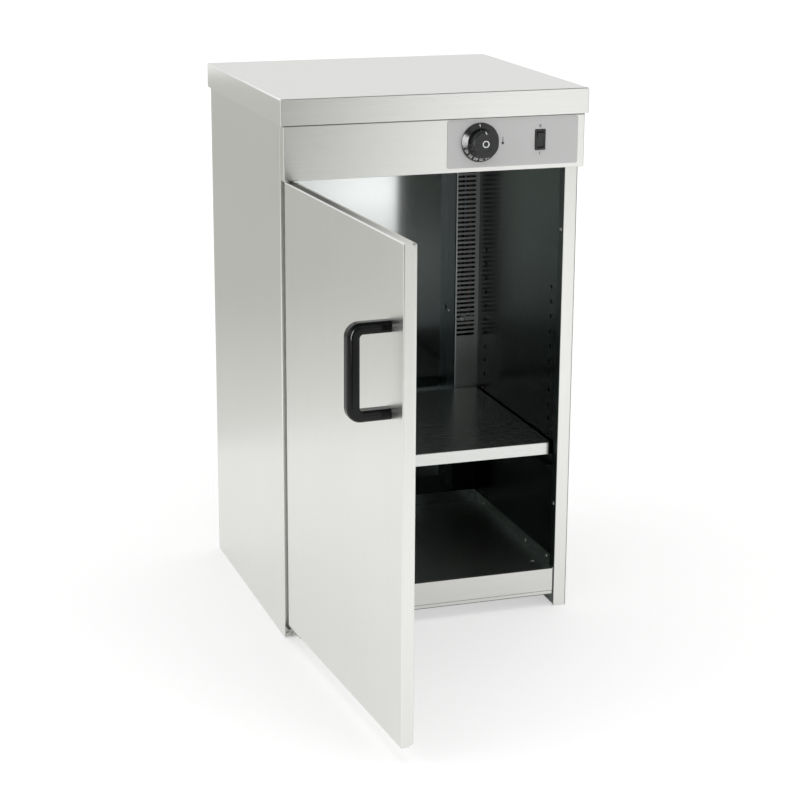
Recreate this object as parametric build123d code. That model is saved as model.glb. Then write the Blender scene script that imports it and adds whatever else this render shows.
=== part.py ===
from build123d import *
import os

# Heated banquet cabinet, in millimetres. X runs to the right, Y to the back and Z up. The origin is
# on the floor, at mid-width, in the plane of the body's rear face. The door is drawn shut and then
# turned to its rest position, open.

# Body
body_width = 480.0
body_depth = 435.0
overall_height = 855.0
outer_sheet = 1.0
inner_sheet = 0.8
fold_radius = 1.5
wall_thickness = 22.0
lip_depth = 18.0
foot_corner_radius = 2.5
back_wall_thickness = 20.5
back_fold_depth = 11.5
rear_fold_depth = 15.0

# Clearances
running_clearance = 0.05
screw_clearance = 0.1
body_clearance = 0.3
fold_gap = 0.5
cut_margin = 1.0
through = 4.0

# Top cap
cap_sheet = 1.2
cap_drop = 39.0
cap_side_overhang = 5.0
cap_front_overhang = 3.0
cap_rear_overhang = 2.0
cap_edge_radius = 1.8

# Fascia and header
door_zone = 22.0
fascia_height = 83.0
fascia_lip_height = 19.0
ceiling_rise = 9.0
ceiling_fold = 12.0
header_height = 19.0
header_screw_rise = 5.5
header_screw_spacing = 160.0
header_shelf = 30.0

# Control plate, knob and switch
plate_width = 213.0
plate_height = 73.0
plate_thickness = 0.8
plate_corner_radius = 3.5
plate_right_margin = 11.5
plate_drop = 3.0
control_drop = 37.5
knob_offset = 52.5
knob_skirt_diameter = 60.0
knob_rim_height = 1.5
knob_skirt_thickness = 5.0
knob_grip_diameter = 43.5
knob_face_diameter = 41.5
knob_grip_height = 21.5
knob_face_radius = 2.0
knob_dish_diameter = 20.0
knob_dish_depth = 0.8
knob_hollow_diameter = 44.0
knob_hollow_depth = 3.0
knob_gap = 0.6
shaft_diameter = 6.0
shaft_hole_diameter = 10.0
shaft_knob_reach = 8.0
shaft_thermostat_reach = 11.0
thermostat_screw_spacing = 28.0
thermostat_width = 42.0
thermostat_height = 32.0
thermostat_depth = 26.0
thermostat_corner_radius = 2.0
thermostat_screw_length = 8.0
tab_width = 6.0
tab_length = 8.0
tab_thickness = 0.8
thermostat_tab_offset = 13.0
capillary_rise = 9.0
switch_offset = 150.5
switch_width = 17.0
switch_height = 32.0
switch_bezel = 1.8
switch_body_width = 12.0
switch_body_height = 27.0
switch_body_depth = 24.0
switch_corner_radius = 1.2
switch_edge_radius = 0.6
switch_tab_spacing = 8.0
rocker_width = 10.6
rocker_height = 21.8
rocker_root_height = 16.5
rocker_swing_room = 1.2
rocker_pocket_depth = 9.0
rocker_depth = 6.0
rocker_sink = 0.5
rocker_lift = 2.1

# Bottom pan
deck_height = 66.4
pan_lip_bottom = 21.0
pan_lip_gap = 2.5
pan_hem = 6.5
pan_foot_depth = 12.0
pan_side_fold = 17.0
deck_hole_diameter = 7.0
deck_hole_setback = 41.0
deck_hole_inset = 44.3
cover_depth = 48.0
cover_rise = 20.5

# Peg holes, rivets and shelf
peg_hole_diameter = 7.0
peg_pitch = 24.5
peg_rows = 13
peg_first_row = 236.0
peg_front_setback = 43.0
peg_rear_inset = 98.0
rail_row = 0
rivet_head_diameter = 7.0
rivet_head_height = 1.4
rivet_head_radius = 1.2
rivet_shank_diameter = 4.0
rivet_length = 3.5
lip_rivet_setback = 8.5
lip_rivet_rise = 176.0
lip_rivet_drop = 112.0
pan_front_rivet = (34.0, 10.1)
pan_middle_rivet = (127.0, 5.0)
pan_rear_rivet_inset = 105.0
shelf_skirt = 20.0
shelf_setback = 20.0
shelf_rear_gap = 5.0
shelf_side_gap = 1.5
shelf_corner_radius = 5.5
shelf_return = 12.0
rail_height = 20.0
rail_width = 10.0
rail_sheet = 1.0
rail_rear_gap = 6.0
hook_width = 5.0
hook_drop = 5.0
hook_seat = 1.5
hook_reach = 2.0
hook_thickness = 1.2
rail_row_rise = 0.7

# Heater duct and heater
duct_width = 43.5
duct_depth = 39.5
duct_corner_radius = 3.0
duct_fold = 12.0
slot_width = 33.5
slot_height = 4.2
slot_pitch = 8.0
slot_right_margin = 6.5
slot_first_drop = 9.0
slot_count = 46
heater_tube_diameter = 8.5
heater_leg_spacing = 18.0
heater_inset = 19.75
heater_drop = 362.0
heater_stem = 6.0
heater_terminal_length = 14.0
heater_terminal_diameter = 4.0
heater_bracket_drop = 341.0
heater_bracket_height = 6.5
heater_bracket_margin = 6.5
heater_bracket_wall = 1.5
duct_screw_rise = 11.0
duct_screw_setback = 27.0
heater_flange_thickness = 2.0
heater_flange_margin = 8.0
heater_flange_width = 22.0
heater_flange_corner = 3.0
bulb_diameter = 6.0
bulb_length = 86.0
bulb_drop = 42.0
bulb_inset = 11.6
capillary_diameter = 2.0
capillary_hole_diameter = 3.0
clip_sheet = 1.0
clip_height = 10.0
clip_neck = 4.0
clip_foot = 9.0

# Door and hinge
door_side_gap = 1.0
door_top_gap = 2.0
door_body_gap = 2.0
door_bottom = 25.0
door_seam_depth = 12.5
door_tray_overlap = 7.0
door_sheet = 1.0
door_tray_sheet = 0.8
door_tray_corner = 4.0
core_gap = 1.2
door_open_angle = 86.7
pivot_inset = 8.0
pivot_front_setback = 4.0
pin_diameter = 4.0
pin_hole_diameter = 5.0
pin_head_diameter = 6.0
pin_head_height = 1.5
pin_door_reach = 14.0
hinge_block_width = 40.0
hinge_block_height = 22.0
hinge_plate_length = 55.0
hinge_plate_margin = 1.5
hinge_plate_thickness = 2.5
hinge_plate_corner = 2.0
hinge_plate_screw_reaches = (34.0, 48.0)
hinge_plate_screw_length = 14.0
bracket_width = 20.0
bracket_thickness = 2.0
bracket_leg_lap = 2.4
bracket_screw_inset = 4.2
lower_bracket_height = 18.0
upper_bracket_height = 26.0
washer_diameter = 6.0
washer_thickness = 1.2
catch_drop = 31.0
catch_inset = 2.0
catch_size = (13.0, 40.0)
catch_depth = 8.0
strike_thickness = 1.5

# Handle
handle_height = 552.0
handle_spacing = 120.0
handle_arm = 16.0
handle_grip = 18.0
handle_width = 22.0
handle_projection = 62.0
handle_edge_inset = 50.0
handle_outer_radius = 20.0
handle_inner_radius = 5.0
handle_outer_edge = 7.0
handle_inner_edge = 4.0
handle_ledge = 0.8
handle_base_depth = 6.0
handle_base_lap = 2.0
handle_screw_length = 15.0

# Electrical parts in the control compartment
insulation_side = 13.0
top_insulation_height = 20.0
top_insulation_rear_gap = 62.0
gland_inset = 90.0
gland_rise = 57.0
gland_body_length = 5.0
gland_cap_length = 9.0
gland_cap_diameter = 18.5
gland_cap_radius = 2.5
gland_thread_length = 10.0
gland_thread_diameter = 16.0
gland_hex = 22.0
gland_bore = 8.0
wire_diameter = 2.6
cutout_inset = 26.0
cutout_diameter = 16.0
cutout_height = 9.0
cutout_plate = (24.0, 12.0)
cutout_tab_spacing = 10.0
terminal_inset = 142.0
terminal_pitch = 12.0
terminal_margin = 7.0
terminal_depth = 18.0
terminal_height = 18.0
terminal_lead = 12.0
terminal_way_diameter = 3.6
terminal_way_depth = 5.0
terminal_screw_diameter = 4.0
terminal_screw_depth = 4.0
earth_inset = 170.0
stud_height = 14.0
stud_nut_rise = 5.0
vent_count = 9
vent_width = 4.0
vent_height = 30.0
vent_drop = 12.0
vent_pitch = 12.0

# Fasteners
stud_diameter = 5.0
nut_radius = 4.6
nut_height = 4.0
cap_stud_length = 12.0
cap_stud_inset = 40.0
rear_screw_margin = 30.0
rear_screw_top_margin = 70.0
sheet_screw_length = 5.0
bracket_screw_length = 7.0
bracket_screw_spacing = 10.0
screw_shank_diameter = 3.8
screw_head_diameter = 7.5
screw_head_height = 2.2
screw_head_radius = 1.2
rear_screw_length = 6.0
screw_recess_width = 1.1
screw_recess_depth = 1.0
screw_recess_length = 4.5

# Places that follow from the sizes above
half_width = body_width / 2
body_front = -body_depth
fascia_front = body_front - door_zone
lip_face = half_width - wall_thickness
wall_face = lip_face + outer_sheet
wall_back = wall_face + inner_sheet
lip_end = body_front + lip_depth
rear_plane = -outer_sheet
roof = overall_height - cap_sheet
cap_bottom = overall_height - cap_drop
fascia_bottom = cap_bottom - fascia_height
ceiling_face = fascia_bottom + ceiling_rise
ceiling_top = ceiling_face + outer_sheet
back_face = -back_wall_thickness
cover_top = deck_height + cover_rise
plate_front = fascia_front - plate_thickness
plate_left = half_width - plate_right_margin - plate_width
knob_place = plate_left + knob_offset
switch_place = plate_left + switch_offset
control_level = cap_bottom - control_drop
thermostat_back = fascia_front + outer_sheet + thermostat_depth
duct_left = wall_face - duct_width
duct_front = back_face - duct_depth
heater_middle = wall_face - heater_inset
heater_depth = (duct_front + back_face) / 2
door_half = half_width - door_side_gap
door_top = fascia_bottom - door_top_gap
door_inner_face = body_front - door_body_gap
door_seam = fascia_front + door_seam_depth
pivot_x = -half_width + pivot_inset
pivot_y = fascia_front + pivot_front_setback
shelf_front = body_front + shelf_setback
shelf_half = lip_face - shelf_side_gap
rail_bottom = peg_first_row + rail_row * peg_pitch + rail_row_rise
rail_top = rail_bottom + rail_height
shelf_bottom = rail_top + body_clearance
shelf_top = shelf_bottom + shelf_skirt
shelf_rear = duct_front - shelf_rear_gap
heater_bottom = ceiling_face - heater_drop
heater_top = ceiling_top + heater_flange_thickness + heater_stem
bracket_level = ceiling_face - heater_bracket_drop
bulb_top = ceiling_face - bulb_drop
catch_level = door_top - catch_drop
gland_level = ceiling_top + gland_rise
gland_offset = half_width - gland_inset
terminal_offset = half_width - terminal_inset
earth_offset = half_width - earth_inset
cutout_place = duct_left - cutout_inset
vent_level = cap_bottom - vent_drop - vent_height / 2
top_insulation_top = ceiling_top + top_insulation_height
terminal_front = heater_depth - terminal_lead
heater_pin_top = heater_top + heater_terminal_length
hook_level = peg_first_row + rail_row * peg_pitch - peg_hole_diameter / 2 + hook_seat
switch_front = plate_front - switch_bezel
switch_back = plate_front + switch_body_depth
lower_bracket_top = door_bottom - hinge_plate_thickness - body_clearance - washer_thickness
rivet_hole = rivet_shank_diameter + screw_clearance
screw_hole = screw_shank_diameter + screw_clearance
pin_bore = pin_diameter + 2 * running_clearance
handle_x = door_half - handle_edge_inset


def block(x, y, z):
    """Box between two limits on each axis."""
    middle = Pos((x[0] + x[1]) / 2, (y[0] + y[1]) / 2, (z[0] + z[1]) / 2)
    return middle * Box(x[1] - x[0], y[1] - y[0], z[1] - z[0])


def rounded_block(x, y, z, axis, closed_end, corner, rim):
    """Box with the corners along an axis rounded, and the rim of its closed face."""
    solid = block(x, y, z)
    if corner > 0:
        solid = fillet(solid.edges().filter_by(axis), corner)
    if rim > 0:
        solid = fillet(solid.faces().sort_by(axis)[closed_end].edges(), rim)
    return solid


def tray(x, y, z, sheet, axis, closed_end, corner=0.0, rim=0.0):
    """Folded sheet tray: closed at one end of the axis, open at the other."""
    outer = rounded_block(x, y, z, axis, closed_end, corner, rim)
    inner_limits = []
    for limits, direction in ((x, Axis.X), (y, Axis.Y), (z, Axis.Z)):
        low = limits[0] + sheet
        high = limits[1] - sheet
        if direction == axis and closed_end == 0:
            high = limits[1] + sheet
        if direction == axis and closed_end == -1:
            low = limits[0] - sheet
        inner_limits.append((low, high))
    inner_corner = max(corner - sheet, 0.0)
    inner_rim = max(rim - sheet, 0.0)
    inner = rounded_block(*inner_limits, axis, closed_end, inner_corner, inner_rim)
    return outer - inner


def rod(point, direction, diameter, length):
    """Cylinder that starts at a point and runs along a direction."""
    base = Plane(origin=point, z_dir=direction)
    return base * Cylinder(diameter / 2, length, align=(Align.CENTER, Align.CENTER, Align.MIN))


def drill(part, points, direction, diameter, length):
    """Part with round holes that start just before each point."""
    step = Vector(direction).normalized() * cut_margin
    for point in points:
        start = Vector(point) - step
        part = part - rod(tuple(start), direction, diameter, length + cut_margin)
    return part


def rounded_head(diameter, height, edge_radius):
    """Head of a screw or rivet, standing on the XY plane."""
    head = Cylinder(diameter / 2, height, align=(Align.CENTER, Align.CENTER, Align.MIN))
    return fillet(head.faces().sort_by(Axis.Z)[-1].edges(), edge_radius)


def pan_screw(point, direction, length):
    """Cross-head screw: the head's underside sits at the point, the shank runs along the direction."""
    head = rounded_head(screw_head_diameter, screw_head_height, screw_head_radius)
    for turn in (0, 90):
        bar = Box(screw_recess_width, screw_recess_length, 2 * screw_recess_depth)
        head = head - Pos(0, 0, screw_head_height) * Rot(0, 0, turn) * bar
    head = Plane(origin=point, z_dir=tuple(-Vector(direction))) * head
    return head + rod(point, direction, screw_shank_diameter, length)


def dome_rivet(point, direction):
    """Domed rivet: the head stands on the face at the point, the shank runs along the direction."""
    head = rounded_head(rivet_head_diameter, rivet_head_height, rivet_head_radius)
    head = Plane(origin=point, z_dir=tuple(-Vector(direction))) * head
    return head + rod(point, direction, rivet_shank_diameter, rivet_length)


def hex_nut(point, direction, radius, height, thread):
    """Hexagon nut that starts at a point and runs along a direction."""
    nut = extrude(Plane(origin=point, z_dir=direction) * RegularPolygon(radius, 6), height)
    return drill(nut, [point], direction, thread + screw_clearance, height + cut_margin)


def blade(x, rear, level):
    """Flat terminal blade that lies level and points to the rear."""
    return block((x - tab_width / 2, x + tab_width / 2), (rear, rear + tab_length),
                 (level - tab_thickness / 2, level + tab_thickness / 2))


def wire(points, radii):
    """Insulated wire along a hand-laid route of straight runs and tangent arcs."""
    path = FilletPolyline(*points, radius=radii)
    return sweep(Plane(origin=path @ 0, z_dir=path % 0) * Circle(wire_diameter / 2), path=path)


def both_sides(part):
    """The part and its mirror image about the mid-plane."""
    return [part, mirror(part, about=Plane.YZ)]


def lip_rivet_points():
    """Rivets that join the left front lip to the inner wall."""
    place = body_front + lip_rivet_setback
    return [(-lip_face, place, height) for height in (lip_rivet_rise, ceiling_face - lip_rivet_drop)]


def pan_rivet_points():
    """Rivets that join the bottom pan's left fold to the inner wall."""
    face = -wall_face + outer_sheet
    setback, rise = pan_front_rivet
    points = [(face, body_front + setback, deck_height + rise)]
    setback, rise = pan_middle_rivet
    points.append((face, body_front + setback, deck_height + rise))
    points.append((face, -pan_rear_rivet_inset, deck_height + rise))
    return points


def peg_columns():
    """Depths of the front and rear columns of peg holes."""
    return [body_front + peg_front_setback, -peg_rear_inset]


def peg_hole_points():
    """Two columns of peg holes in the left inner wall."""
    rows = range(peg_rows)
    return [(-wall_face, place, peg_first_row + row * peg_pitch) for place in peg_columns() for row in rows]


def rear_screw_points():
    """Rear panel screws, down both edges."""
    across = half_width - wall_thickness / 2
    heights = (rear_screw_margin, overall_height / 2, overall_height - rear_screw_top_margin)
    return [(side * across, 0.0, height) for side in (-1, 1) for height in heights]


def cap_stud_points():
    """Studs welded inside the cap, through the top folds of the side skins."""
    across = half_width - wall_thickness / 2
    places = (body_front + cap_stud_inset, -cap_stud_inset)
    return [(side * across, place, roof) for side in (-1, 1) for place in places]


def bracket_limits(low):
    """Foot and top of the lower or upper hinge bracket."""
    if low:
        return lower_bracket_top - lower_bracket_height, lower_bracket_top
    base = fascia_bottom + outer_sheet
    return base, base + upper_bracket_height


def bracket_screw_points(low):
    """Two screws that hold a hinge bracket's upright leg to the left front flange."""
    foot, top = bracket_limits(low)
    height = foot + bracket_screw_inset if low else top - bracket_screw_inset
    middle = -half_width + door_side_gap + bracket_width / 2
    half = bracket_screw_spacing / 2
    return [(middle + side * half, body_front - bracket_thickness, height) for side in (-1, 1)]


def fascia_screw_points():
    """Screws through the fascia's rear lip into the header, from the front."""
    height = ceiling_face + header_screw_rise
    return [(number * header_screw_spacing, body_front - outer_sheet, height) for number in (-1, 0, 1)]


def side_skin(hinged):
    """Outer wall, drawn on the left: one sheet folded on four sides, with a return lip in front."""
    x = (-half_width, -lip_face)
    skin = tray(x, (body_front, rear_plane), (0, roof), outer_sheet, Axis.X, 0, rim=fold_radius)
    fold_end = -lip_face - foot_corner_radius - fold_gap
    skin = skin - block((fold_end, -lip_face + cut_margin), (body_front + outer_sheet, cut_margin),
                        (-cut_margin, outer_sheet))
    foot_edge = skin.edges().filter_by(Axis.Y).group_by(Axis.Z)[0].sort_by(Axis.X)[-1]
    skin = fillet(foot_edge, foot_corner_radius)
    lip_start = foot_corner_radius + outer_sheet
    lip = block((-wall_face, -lip_face), (body_front + outer_sheet / 2, lip_end), (lip_start, roof))
    skin = drill(skin + lip, lip_rivet_points(), (-1, 0, 0), rivet_hole, through)
    skin = drill(skin, [p for p in rear_screw_points() if p[0] < 0], (0, -1, 0), screw_hole, through)
    if hinged:
        brackets = bracket_screw_points(True) + bracket_screw_points(False)
        skin = drill(skin, brackets, (0, 1, 0), screw_hole, through)
    studs = [p for p in cap_stud_points() if p[0] < 0]
    return drill(skin, studs, (0, 0, -1), stud_diameter + 2 * screw_clearance, through)


def inner_wall():
    """Left inner wall with its peg holes."""
    wall = block((-wall_back, -wall_face), (body_front + outer_sheet, rear_plane - outer_sheet),
                 (foot_corner_radius + outer_sheet, ceiling_top + ceiling_fold))
    wall = drill(wall, peg_hole_points(), (-1, 0, 0), peg_hole_diameter, through)
    rivets = [(-wall_face, point[1], point[2]) for point in lip_rivet_points() + pan_rivet_points()]
    return drill(wall, rivets, (-1, 0, 0), rivet_hole, through)


def rear_panel():
    """Rear outer panel with a bottom and a top fold, vents and the supply inlet's hole."""
    across = (-lip_face + outer_sheet, lip_face - outer_sheet)
    panel = block((-half_width, half_width), (rear_plane, 0), (0, roof))
    panel = panel + block(across, (-rear_fold_depth, 0), (0, outer_sheet))
    panel = panel + block(across, (-rear_fold_depth, 0), (roof - outer_sheet, roof))
    panel = drill(panel, rear_screw_points(), (0, -1, 0), screw_hole, through)
    gland_hole = gland_thread_diameter + 2 * screw_clearance
    panel = drill(panel, [(gland_offset, 0, gland_level)], (0, -1, 0), gland_hole, through)
    for number in range(vent_count):
        place = (number - (vent_count - 1) / 2) * vent_pitch
        slot = Plane.XZ * Pos(place, vent_level) * SlotOverall(vent_height, vent_width, rotation=90)
        panel = panel - extrude(slot, through, both=True)
    return panel


def inner_back_wall():
    """Back wall of the heated space, a shallow tray with its folds to the rear."""
    return tray((-wall_face, wall_face), (back_face, back_face + back_fold_depth),
                (deck_height, ceiling_face), inner_sheet, Axis.Y, 0)


def heater_leg_places():
    """Centres of the heater's two upright legs."""
    return [heater_middle - heater_leg_spacing / 2, heater_middle + heater_leg_spacing / 2]


def bulb_place():
    """Centre of the sensing bulb, inside the duct's left face."""
    return (duct_left + bulb_inset, back_face - inner_sheet - bulb_diameter)


def cavity_ceiling():
    """Ceiling of the heated space and floor of the control compartment."""
    ceiling = tray((-wall_face, wall_face), (lip_end + fold_gap, back_face + back_fold_depth),
                   (ceiling_face, ceiling_top + ceiling_fold), outer_sheet, Axis.Z, 0)
    legs = [(x, heater_depth, ceiling_face) for x in heater_leg_places()]
    ceiling = drill(ceiling, legs, (0, 0, 1), heater_tube_diameter + body_clearance, through)
    bulb_x, bulb_y = bulb_place()
    return drill(ceiling, [(bulb_x, bulb_y, ceiling_face)], (0, 0, 1), capillary_hole_diameter, through)


def front_header():
    """Angle that joins the side walls behind the fascia and carries the ceiling's front."""
    across = (-lip_face, lip_face)
    low = ceiling_face - outer_sheet
    web = block(across, (body_front, body_front + outer_sheet), (low, ceiling_face + header_height))
    leg = block(across, (body_front, body_front + header_shelf), (low, ceiling_face))
    return drill(web + leg, fascia_screw_points(), (0, 1, 0), screw_hole, through)


def bottom_pan():
    """Deck with a front apron, and side folds riveted to the inner walls."""
    deck_low = deck_height - outer_sheet
    deck_front = lip_end + fold_gap
    front_half = lip_face - fold_gap
    apron_x = (-lip_face + pan_lip_gap, lip_face - pan_lip_gap)
    pan = block((-wall_face, wall_face), (deck_front, back_face + back_fold_depth), (deck_low, deck_height))
    pan = pan + block((-front_half, front_half), (body_front + fold_radius, deck_front),
                      (deck_low, deck_height))
    hem_top = pan_lip_bottom + pan_hem
    apron = block(apron_x, (body_front, body_front + outer_sheet), (hem_top, deck_height))
    apron = apron + block(apron_x, (body_front, body_front + 2 * fold_radius), (deck_low, deck_height))
    top_edge = apron.edges().filter_by(Axis.X).group_by(Axis.Z)[-1].sort_by(Axis.Y)[0]
    apron = fillet(top_edge, fold_radius)
    hem_front = body_front + outer_sheet
    hem = block(apron_x, (hem_front, hem_front + outer_sheet), (pan_lip_bottom, hem_top + outer_sheet))
    foot = block(apron_x, (hem_front, hem_front + pan_foot_depth),
                 (pan_lip_bottom, pan_lip_bottom + outer_sheet))
    pan = pan + apron + hem + foot
    for side in (-1, 1):
        fold_x = sorted((side * wall_face, side * (wall_face - outer_sheet)))
        pan = pan + block(fold_x, (deck_front, duct_front - body_clearance),
                          (deck_low, deck_height + pan_side_fold))
        rivets = [(-side * p[0], p[1], p[2]) for p in pan_rivet_points()]
        pan = drill(pan, rivets, (side, 0, 0), rivet_hole, through)
    across = half_width - deck_hole_inset
    holes = [(side * across, body_front + deck_hole_setback, deck_height) for side in (-1, 1)]
    return drill(pan, holes, (0, 0, -1), deck_hole_diameter, through)


def rear_floor_cover():
    """Low raised strip along the back of the deck, with a turned-down front edge."""
    half = wall_face - 2 * outer_sheet
    front = back_face - cover_depth
    strip = block((-half, half), (front, back_face), (cover_top - inner_sheet, cover_top))
    edge = block((-half, half), (front, front + inner_sheet), (deck_height, cover_top))
    return strip + edge


def top_cap():
    """Top sheet with a straight skirt all round, and four studs inside."""
    half = half_width + cap_side_overhang
    cap = tray((-half, half), (fascia_front - cap_front_overhang, cap_rear_overhang),
               (cap_bottom, overall_height), cap_sheet, Axis.Z, -1, corner=fold_radius, rim=cap_edge_radius)
    for point in cap_stud_points():
        cap = cap + rod(point, (0, 0, -1), stud_diameter, cap_stud_length)
    return cap


def cap_nuts():
    """Nuts on the cap's studs, under the side skins' top folds."""
    places = [(x, y, z - outer_sheet) for x, y, z in cap_stud_points()]
    return [hex_nut(place, (0, 0, -1), nut_radius, nut_height, stud_diameter) for place in places]


def fascia():
    """Front panel: a tray with its folds to the rear and a lip screwed to the header."""
    panel = tray((-half_width, half_width), (fascia_front, body_front), (fascia_bottom, roof),
                 outer_sheet, Axis.Y, 0, rim=fold_radius)
    lip_half = lip_face - outer_sheet
    panel = panel + block((-lip_half, lip_half), (body_front - outer_sheet, body_front),
                          (fascia_bottom, fascia_bottom + fascia_lip_height))
    panel = drill(panel, fascia_screw_points() + thermostat_screw_points(), (0, 1, 0), screw_hole, through)
    shaft_place = (knob_place, fascia_front, control_level)
    panel = drill(panel, [shaft_place], (0, 1, 0), shaft_hole_diameter, through)
    panel = drill(panel, [(pivot_x, pivot_y, fascia_bottom)], (0, 0, 1), pin_hole_diameter, through)
    return panel - switch_opening()


def switch_opening():
    """Cut for the switch's body through the fascia and the control plate."""
    half = switch_body_width / 2 + screw_clearance
    tall = switch_body_height / 2 + screw_clearance
    depth = (plate_front - cut_margin, fascia_front + through)
    return block((switch_place - half, switch_place + half), depth,
                 (control_level - tall, control_level + tall))


def thermostat_screw_points():
    """Two screws either side of the shaft, under the knob's skirt."""
    half = thermostat_screw_spacing / 2
    return [(knob_place + side * half, plate_front, control_level) for side in (-1, 1)]


def control_plate():
    """Thin plate on the fascia, behind the knob and the switch."""
    high = cap_bottom - plate_drop
    plate = block((plate_left, plate_left + plate_width), (plate_front, fascia_front),
                  (high - plate_height, high))
    plate = fillet(plate.edges().filter_by(Axis.Y), plate_corner_radius)
    shaft_place = (knob_place, plate_front, control_level)
    plate = drill(plate, [shaft_place], (0, 1, 0), shaft_hole_diameter, through)
    plate = drill(plate, thermostat_screw_points(), (0, 1, 0), screw_hole, through)
    return plate - switch_opening()


def thermostat_body():
    """Capillary thermostat behind the fascia, bored for the knob's shaft."""
    front = fascia_front + outer_sheet
    half = thermostat_width / 2
    tall = thermostat_height / 2
    body = block((knob_place - half, knob_place + half), (front, thermostat_back),
                 (control_level - tall, control_level + tall))
    body = fillet(body.edges().filter_by(Axis.Y), thermostat_corner_radius)
    for side in (-1, 1):
        body = body + blade(knob_place + side * thermostat_tab_offset, thermostat_back, control_level)
    bore = shaft_diameter + 2 * running_clearance
    shaft_place = (knob_place, front, control_level)
    body = drill(body, [shaft_place], (0, 1, 0), bore, shaft_thermostat_reach + fold_gap)
    return drill(body, thermostat_screw_points(), (0, 1, 0), screw_hole, thermostat_screw_length + fold_gap)


def thermostat_screws():
    """Screws that hold the thermostat to the fascia, hidden under the knob."""
    return [pan_screw(point, (0, 1, 0), thermostat_screw_length) for point in thermostat_screw_points()]


def thermostat_shaft():
    """Shaft from the thermostat's bore into the knob."""
    start = plate_front - knob_gap - knob_skirt_thickness - shaft_knob_reach
    end = fascia_front + outer_sheet + shaft_thermostat_reach
    return rod((knob_place, start, control_level), (0, 1, 0), shaft_diameter, end - start)


def thermostat_knob():
    """Turned knob: a bevelled skirt, a raised round grip with a shallow dish and a hollow back."""
    top = knob_skirt_thickness + knob_grip_height
    profile = Polyline((0, 0), (knob_skirt_diameter / 2, 0), (knob_skirt_diameter / 2, knob_rim_height),
                       (knob_grip_diameter / 2, knob_skirt_thickness), (knob_face_diameter / 2, top),
                       (0, top), close=True)
    knob = revolve(Plane.XZ * make_face(profile), Axis.Z)
    knob = fillet(knob.faces().sort_by(Axis.Z)[-1].edges(), knob_face_radius)
    knob = drill(knob, [(0, 0, 0)], (0, 0, 1), knob_hollow_diameter, knob_hollow_depth)
    knob = drill(knob, [(0, 0, 0)], (0, 0, 1), shaft_diameter, knob_skirt_thickness + shaft_knob_reach)
    knob = drill(knob, [(0, 0, top)], (0, 0, -1), knob_dish_diameter, knob_dish_depth)
    return Plane(origin=(knob_place, plate_front - knob_gap, control_level), z_dir=(0, -1, 0)) * knob


def switch_housing():
    """Rocker switch body with its bezel, hollow in front for the rocker."""
    wide = switch_width / 2
    tall = switch_height / 2
    bezel = block((switch_place - wide, switch_place + wide), (switch_front, plate_front),
                  (control_level - tall, control_level + tall))
    bezel = fillet(bezel.edges().filter_by(Axis.Y), switch_corner_radius)
    bezel = fillet(bezel.faces().sort_by(Axis.Y)[0].edges(), switch_edge_radius)
    half = switch_body_width / 2
    high = switch_body_height / 2
    body = block((switch_place - half, switch_place + half), (plate_front, switch_back),
                 (control_level - high, control_level + high))
    pocket_half = rocker_width / 2 + body_clearance
    pocket_high = rocker_height / 2 + body_clearance + rocker_swing_room
    pocket = block((switch_place - pocket_half, switch_place + pocket_half),
                   (switch_front - cut_margin, plate_front + rocker_pocket_depth),
                   (control_level - pocket_high, control_level + pocket_high))
    housing = bezel + body - pocket
    for number in (-1, 0, 1):
        housing = housing + blade(switch_place, switch_back, control_level + number * switch_tab_spacing)
    return housing


def switch_rocker():
    """Rocker with two sloping halves, its lower half pressed in."""
    high = rocker_height / 2
    root = rocker_root_height / 2
    outline = Polyline((switch_front + rocker_sink, -high), (switch_front + rocker_sink / 2, 0),
                       (switch_front - rocker_lift, high), (switch_front + rocker_depth, root),
                       (switch_front + rocker_depth, -root), close=True)
    side = Plane(origin=(switch_place - rocker_width / 2, 0, control_level), x_dir=(0, 1, 0), z_dir=(1, 0, 0))
    return extrude(side * make_face(outline), rocker_width)


def shelf():
    """Sheet shelf with a folded skirt and returned edges along its sides."""
    panel = tray((-shelf_half, shelf_half), (shelf_front, shelf_rear), (shelf_bottom, shelf_top),
                 outer_sheet, Axis.Z, -1, corner=shelf_corner_radius, rim=fold_radius)
    for side in (-1, 1):
        x = sorted((side * shelf_half, side * (shelf_half - shelf_return)))
        panel = panel + block(x, (shelf_front + shelf_corner_radius, shelf_rear - shelf_corner_radius),
                              (shelf_bottom, shelf_bottom + outer_sheet))
    return panel


def shelf_rail():
    """Left C-shaped rail, hooked into two peg holes of the inner wall."""
    length = (shelf_front, duct_front - rail_rear_gap)
    web_x = (-wall_face, -wall_face + rail_sheet)
    rail = block(web_x, length, (rail_bottom, rail_top))
    for low in (rail_bottom, rail_top - rail_sheet):
        rail = rail + block((-wall_face, -wall_face + rail_width), length, (low, low + rail_sheet))
    hook_end = -wall_back - hook_reach
    for place in peg_columns():
        width = (place - hook_width / 2, place + hook_width / 2)
        drop = block(web_x, width, (hook_level, rail_bottom + rail_sheet))
        tongue = block((hook_end, web_x[1]), width, (hook_level, hook_level + rail_sheet))
        catch = block((hook_end, hook_end + hook_thickness), width,
                      (hook_level - hook_drop, hook_level + rail_sheet))
        rail = rail + drop + tongue + catch
    return rail


def duct_screw_points():
    """Screw places on the duct: one on its left face, one on its front."""
    left = (duct_left, duct_front + duct_screw_setback, bracket_level + duct_screw_rise)
    front = (heater_middle - heater_leg_spacing / 2, duct_front, bracket_level)
    return left, front


def duct_corner(solid):
    """Upright edge nearest to the duct's free corner."""
    return solid.edges().filter_by(Axis.Z).sort_by_distance((duct_left, duct_front, ceiling_face / 2))[0]


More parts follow.
